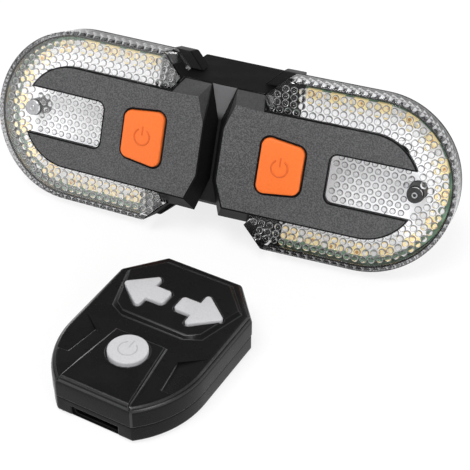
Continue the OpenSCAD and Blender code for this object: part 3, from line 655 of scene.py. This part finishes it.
def add_end_walls(name, side):
    """Dark walls at the lens's slanted ends; the upper ones stop at the centre block."""
    thick = END_WALL_THICK
    low = END_WALL_LOW
    high = END_WALL_HIGH
    corner = (END_WALL_X, END_WALL_Y)
    slant = END_WALL_TOP - END_WALL_Y
    tip = (END_WALL_X + slant, END_WALL_TOP)
    past_block = (BLOCK_EDGE + BLOCK_GAP, END_WALL_Y + BLOCK_EDGE + BLOCK_GAP - END_WALL_X)
    outside = Vector((-1.0, 1.0)).normalized() * (thick / 2 + END_WALL_GAP)
    slope_start = Vector(END_POINT) + outside
    slope_end = Vector(END_TIP) + outside - Vector((END_TIP_CUT, END_TIP_CUT))
    slope_block = slope_start + Vector((1.0, 1.0)) * (BLOCK_EDGE - slope_start.x)
    upper = [plank(past_block, tip, low, high, thick)]
    upper.append(plank(slope_start, slope_block, BLOCK_TOP, SLOPE_TOP, thick))
    lower = [plank((END_WALL_X, PANEL_R), corner, low, high, thick)]
    lower.append(plank(slope_start, slope_end, low, SLOPE_TOP, thick))
    for strip in lower:
        strip.matrix_world = Matrix.Scale(-1, 4, Vector((0, 1, 0))) @ strip.matrix_world
    walls = join(upper + lower, name + "_end_walls")
    settle(walls, pod_frame(side))
    finish_piece(walls, "light", bar_black)


def add_screw_ring(name, side):
    """The rim of the small hole in the window screw's head: a real rim, in bright steel that stands in for
    a glint, a painted highlight.
    """
    bpy.ops.object.select_all(action="DESELECT")
    place = (POST_X, 0, SCREW_TOP + SCREW_RING_RISE)
    bpy.ops.mesh.primitive_torus_add(major_radius=SCREW_RING_R, minor_radius=SCREW_RING_THICK / 2,
                                     major_segments=32, minor_segments=8, location=place)
    ring = bpy.context.object
    ring.name = name + "_screw_ring"
    settle(ring, pod_frame(side))
    finish_piece(ring, "light", steel, 60.0)


def lamp_places():
    places = [(END_X - LAMP_PITCH * i, way * LAMP_R) for i in range(ROW_LAMPS) for way in (1, -1)]
    for i in range(1, ARC_LAMPS + 1):
        angle = math.pi / 2 - math.pi * i / (ARC_LAMPS + 1)
        places.append((END_X + LAMP_R * math.cos(angle), LAMP_R * math.sin(angle)))
    return places


def add_lamp_cores(name, side):
    """The amber spot on each lamp, all in one piece."""
    middle = (0, 0, LAMP_TOP + LAMP_CORE_GAP + LAMP_CORE_HEIGHT / 2)
    bpy.ops.object.select_all(action="DESELECT")
    bpy.ops.mesh.primitive_cylinder_add(vertices=24, radius=LAMP_CORE_R, depth=LAMP_CORE_HEIGHT,
                                        location=middle)
    spot = bpy.context.object
    cores = copies_at(spot, [Matrix.Translation((x, y, 0)) for x, y in lamp_places()])
    bpy.data.objects.remove(spot)
    piece = join(cores, name + "_lamp_cores")
    settle(piece, pod_frame(side))
    finish_piece(piece, "light", lamp_amber)


def power_symbol(name, sizes, matrix, body, material):
    """An embossed power symbol: an open ring with a bar in its gap."""
    radius, thick, relief = sizes
    half_gap = radius * SYMBOL_GAP
    bpy.ops.object.select_all(action="DESELECT")
    bpy.ops.mesh.primitive_torus_add(major_radius=radius, minor_radius=thick / 2, major_segments=48,
                                     minor_segments=10)
    ring = bpy.context.object
    edit(ring)
    bpy.ops.mesh.select_all(action="DESELECT")
    leave_edit()
    for face in ring.data.polygons:
        face.select = face.center.y > 0 and abs(face.center.x) < half_gap
    bpy.ops.object.mode_set(mode="EDIT")
    bpy.ops.mesh.delete(type="FACE")
    bpy.ops.mesh.select_all(action="SELECT")
    bpy.ops.mesh.region_to_loop()
    bpy.ops.mesh.edge_face_add()
    leave_edit()
    bpy.ops.object.select_all(action="DESELECT")
    middle = (0, radius * SYMBOL_BAR_AT, 0)
    bpy.ops.mesh.primitive_cylinder_add(vertices=10, radius=thick / 2, depth=radius * SYMBOL_BAR_LENGTH,
                                        location=middle, rotation=(math.pi / 2, 0, 0))
    bar = bpy.context.object
    bevel = bar.modifiers.new("ends", "BEVEL")
    bevel.width = thick * 0.2
    bevel.segments = 2
    apply_modifiers(bar)
    symbol = join([ring, bar], name)
    symbol.matrix_world = Matrix.Diagonal((1, 1, relief, 1)) @ symbol.matrix_world
    settle(symbol, matrix)
    finish_piece(symbol, body, material, 60.0)


def add_button_symbol(name, side):
    """The symbol on a power button; on the mirrored pod it is turned back, so that it reads the same."""
    place = pod_frame(side) @ Matrix.Translation(Vector(BUTTON_SYMBOL_AT) * MM)
    if side < 0:
        place = place @ Matrix.Scale(-1, 4, Vector((1, 0, 0)))
    body = name + "_button"
    power_symbol(body + "_symbol", BUTTON_SYMBOL, place, body, button_painted_shade)


def add_mode_symbol():
    place = REMOTE_FRAME @ Matrix.Translation(Vector(MODE_SYMBOL_AT) * MM)
    power_symbol("remote_mode_symbol", MODE_SYMBOL, place, "remote_mode_key", key_painted_shade)


# Finishes of the carried-over pieces
def paint(node, material):
    obj = nodes[node]
    obj.data.materials.clear()
    obj.data.materials.append(material)


def face_with(piece, material, direction, least):
    """One more finish, on the faces that look in one direction."""
    piece.data.materials.append(material)
    for face in piece.data.polygons:
        if face.normal.dot(direction) > least:
            face.material_index = len(piece.data.materials) - 1


# How squarely the panel's front and its upper chamfers look forwards, and how far its border may stray
FRONT_FACING = 0.93
CHAMFER_FACING = 0.5
CHAMFER_UPWARDS = 0.2
BORDER_STRAY = 0.02


def dress_panel(name, side):
    """A grained front; its dark border, sides, lower chamfers and V-walls in near-black, painted shade; a
    darker grain on the upper chamfers, painted shade as well.
    """
    piece = stand_in(name + "_front_panel")
    normal = (pod_frame(side).to_3x3() @ Vector((0, 0, 1))).normalized()
    upwards = (pod_frame(side).to_3x3() @ Vector((0, 1, 0))).normalized()
    edit(piece)
    bpy.ops.mesh.select_mode(type="FACE")
    bpy.ops.mesh.select_all(action="DESELECT")
    leave_edit()
    for face in piece.data.polygons:
        facing = face.normal.dot(normal)
        chamfer = facing > CHAMFER_FACING and face.normal.dot(upwards) > CHAMFER_UPWARDS
        face.select = facing > FRONT_FACING or chamfer
    surface = surface_of(piece)
    bpy.ops.object.mode_set(mode="EDIT")
    bpy.ops.mesh.inset(thickness=PANEL_BORDER * MM, use_even_offset=True)
    leave_edit()
    bpy.context.tool_settings.mesh_select_mode = (True, False, False)
    pull_back(piece, surface, BORDER_STRAY)
    grained = [face.index for face in piece.data.polygons if face.select]
    # Painted shade: near-black everywhere but the grained front and the upper chamfers, which get a darker
    # grain
    finish_piece(piece, "light", panel_painted_shadow)
    piece.data.materials.append(panel_painted_shade)
    piece.data.materials.append(panel_grain)
    for index in grained:
        face = piece.data.polygons[index]
        face.material_index = 2 if face.normal.dot(normal) > FRONT_FACING else 1


def dress_rear(rear, side):
    """White posts under the panel's prongs, in the reflector's white with its painted glow, and shoulders
    as dark as the centre block.
    """
    rear.data.materials.append(reflector_white_painted_glow)
    rear.data.materials.append(bar_black)
    to_pod = pod_frame(side).inverted()
    for face in rear.data.polygons:
        place = to_pod @ face.center / MM
        if place.z > RIM_Z + 0.3 and SLOT_X < place.x < POST_X - POST_ROOM:
            face.material_index = 1
        elif place.x < SHOULDER_X and abs(place.y) > PANEL_R:
            face.material_index = 2


def paint_light_near_post(screws, side, material):
    """A paler grey on the screw in the window, painted light."""
    screws.data.materials.append(material)
    to_pod = pod_frame(side).inverted()
    for face in screws.data.polygons:
        place = to_pod @ face.center / MM
        if abs(place.x - POST_X) < POST_ROOM and abs(place.y) < POST_ROOM:
            face.material_index = 1


def dress_lens_wall(lens, side):
    """The lens's outer wall, where the prisms show through."""
    lens.data.materials.append(lens_wall)
    to_pod = pod_frame(side).inverted()
    for face in lens.data.polygons:
        place = to_pod @ face.center / MM
        from_line = math.hypot(max(place.x - END_X, 0.0), place.y)
        if from_line > POD_R - 0.5 and place.z < LENS_UNDER + 2.4:
            face.material_index = 1


def dress_pod(name, side):
    dress_panel(name, side)
    rear = softened(name + "_rear_housing", HOUSING_ROUNDING)
    finish_piece(rear, "light", housing_black)
    even_shading(rear)
    dress_rear(rear, side)
    button = softened(name + "_power_button", BUTTON_ROUNDING, 3)
    finish_piece(button, name + "_button", button_orange)
    paint(name + "_lens", lens_clear)
    dress_lens_wall(nodes[name + "_lens"], side)
    paint(name + "_seal", seal_grey)
    # Painted light: the reflector glows faintly
    paint(name + "_reflector", reflector_white_painted_glow)
    paint(name + "_led_board", board_green)
    # Painted light: the lamps glow faintly, though they are off
    paint(name + "_leds", lamp_cream_painted_glow)
    paint(name + "_control_board", board_green)
    paint(name + "_power_switch", dark_parts)
    paint(name + "_battery", foil)
    paint(name + "_charge_socket", steel)
    paint(name + "_port_cover", rubber_black)
    paint(name + "_screws", screw_grey)
    # Painted light: only the left pod's window screw is paler
    if side < 0:
        paint_light_near_post(nodes[name + "_screws"], side, screw_painted_light)
    add_optics(name, side)
    add_end_walls(name, side)
    add_screw_ring(name, side)
    add_lamp_cores(name, side)
    add_button_symbol(name, side)


def dress_mount():
    block = softened("mount_block", HOUSING_ROUNDING)
    finish_piece(block, "light", bar_black)
    even_shading(block)
    front = (LIGHT_FRAME.to_3x3() @ Vector((0, 0, 1))).normalized()
    face_with(block, notch_grain, front, 0.9)
    paint("saddle_pad", rubber_black)
    paint("block_screws", steel)


def dress_remote():
    top = stand_in("remote_top_shell")
    finish_piece(top, "remote", remote_black, 40.0)
    # Painted highlight: the top shell's rounded creases take the lighter black in the second slot
    top.data.materials.append(remote_painted_highlight)
    round_edges(top, REMOTE_TOP_ROUNDING, 3, REMOTE_TOP_CORNER, 1)
    shade(top, 40.0)
    even_shading(top)
    base = softened("remote_base", HOUSING_ROUNDING)
    finish_piece(base, "remote", remote_black)
    even_shading(base)
    for key in ("left", "right", "mode"):
        piece = softened(f"remote_{key}_button", KEY_ROUNDING, 3)
        finish_piece(piece, f"remote_{key}_key", key_grey)
    paint("remote_board", board_green)
    for node in ("remote_domes", "remote_coin_cell", "remote_cell_clip", "remote_screws"):
        paint(node, steel)
    add_mode_symbol()


# Stage: white floor, soft light and the photograph's camera
def add_floor():
    bpy.ops.object.select_all(action="DESELECT")
    bpy.ops.mesh.primitive_plane_add(size=6.0, location=(0, 0, -0.00005))
    floor = bpy.context.object
    floor.name = "floor"
    m = Nodes("floor_white")
    m.shader.inputs["Base Color"].default_value = (0.9, 0.9, 0.9, 1.0)
    m.shader.inputs["Roughness"].default_value = 0.9
    glow = m.add("ShaderNodeEmission")
    glow.inputs["Color"].default_value = (1, 1, 1, 1)
    glow.inputs["Strength"].default_value = 1.0
    path = m.add("ShaderNodeLightPath")
    seen = m.add("ShaderNodeMath", operation="MAXIMUM")
    m.link(path.outputs["Is Camera Ray"], seen.inputs[0])
    m.link(path.outputs["Is Transmission Ray"], seen.inputs[1])
    mirrored = m.add("ShaderNodeMath", operation="MAXIMUM")
    m.link(seen.outputs[0], mirrored.inputs[0])
    m.link(path.outputs["Is Glossy Ray"], mirrored.inputs[1])
    share = m.add("ShaderNodeMath", operation="MULTIPLY")
    share.inputs[1].default_value = 0.8
    m.link(mirrored.outputs[0], share.inputs[0])
    mix = m.add("ShaderNodeMixShader")
    m.link(share.outputs[0], mix.inputs["Fac"])
    m.link(m.shader.outputs[0], mix.inputs[1])
    m.link(glow.outputs[0], mix.inputs[2])
    m.link(mix.outputs[0], m.output.inputs["Surface"])
    floor.data.materials.append(m.material)


def add_lamp(name, place, target, size, watts):
    data = bpy.data.lights.new(name, "AREA")
    data.shape = "RECTANGLE"
    data.size = size[0]
    data.size_y = size[1]
    data.energy = watts
    lamp = bpy.data.objects.new(name, data)
    bpy.context.collection.objects.link(lamp)
    lamp.location = place
    lamp.rotation_euler = (Vector(target) - Vector(place)).to_track_quat("-Z", "Y").to_euler()


def add_light():
    world = bpy.data.worlds.new("studio")
    bpy.context.scene.world = world
    world.use_nodes = True
    sky = world.node_tree.nodes["Background"]
    sky.inputs["Color"].default_value = (1, 1, 1, 1)
    sky.inputs["Strength"].default_value = 0.28
    add_lamp("top", (-0.1, -0.35, 1.0), (0, 0, 0.02), (0.6, 0.5), 9.0)
    add_lamp("side", (-0.6, -0.8, 0.2), (0, 0, 0.02), (0.6, 0.6), 1.7)
    add_lamp("fill", (0.75, -0.5, 0.5), (0, 0, 0.02), (0.5, 0.5), 3.7)
    add_lamp("back", (0.1, 1.1, 0.7), (0, 0, 0.02), (0.7, 0.5), 3.0)
    add_lamp("rim_right", (0.55, 0.75, 0.42), (0, 0, 0.01), (0.4, 0.4), 3.0)
    add_lamp("rim_left", (-0.7, 0.75, 0.25), (0, 0, 0.01), (0.4, 0.4), 3.0)


# Camera fitted to the photograph: its width and focal length in pixels, its place and the way it looks
PHOTO_WIDTH = 470.0
FOCAL_LENGTH = 1450.0
SENSOR_WIDTH = 36.0
CAMERA_AT = Vector((118.09, LIGHT_Y - 283.55, 249.70)) * MM
CAMERA_LOOK = Vector((-0.2821, 0.72184, -0.63195))


def add_camera():
    data = bpy.data.cameras.new("photo_camera")
    data.sensor_width = SENSOR_WIDTH
    data.lens = FOCAL_LENGTH / PHOTO_WIDTH * SENSOR_WIDTH
    data.clip_start = 0.01
    camera = bpy.data.objects.new("photo_camera", data)
    bpy.context.collection.objects.link(camera)
    camera.location = CAMERA_AT
    camera.rotation_euler = CAMERA_LOOK.to_track_quat("-Z", "Y").to_euler()
    bpy.context.scene.camera = camera


add_camera()
add_light()
add_floor()
dress_mount()
for pod_name, pod_side in (("left", -1), ("right", 1)):
    dress_pod(pod_name, pod_side)
dress_remote()

bpy.context.scene.view_settings.view_transform = "Standard"
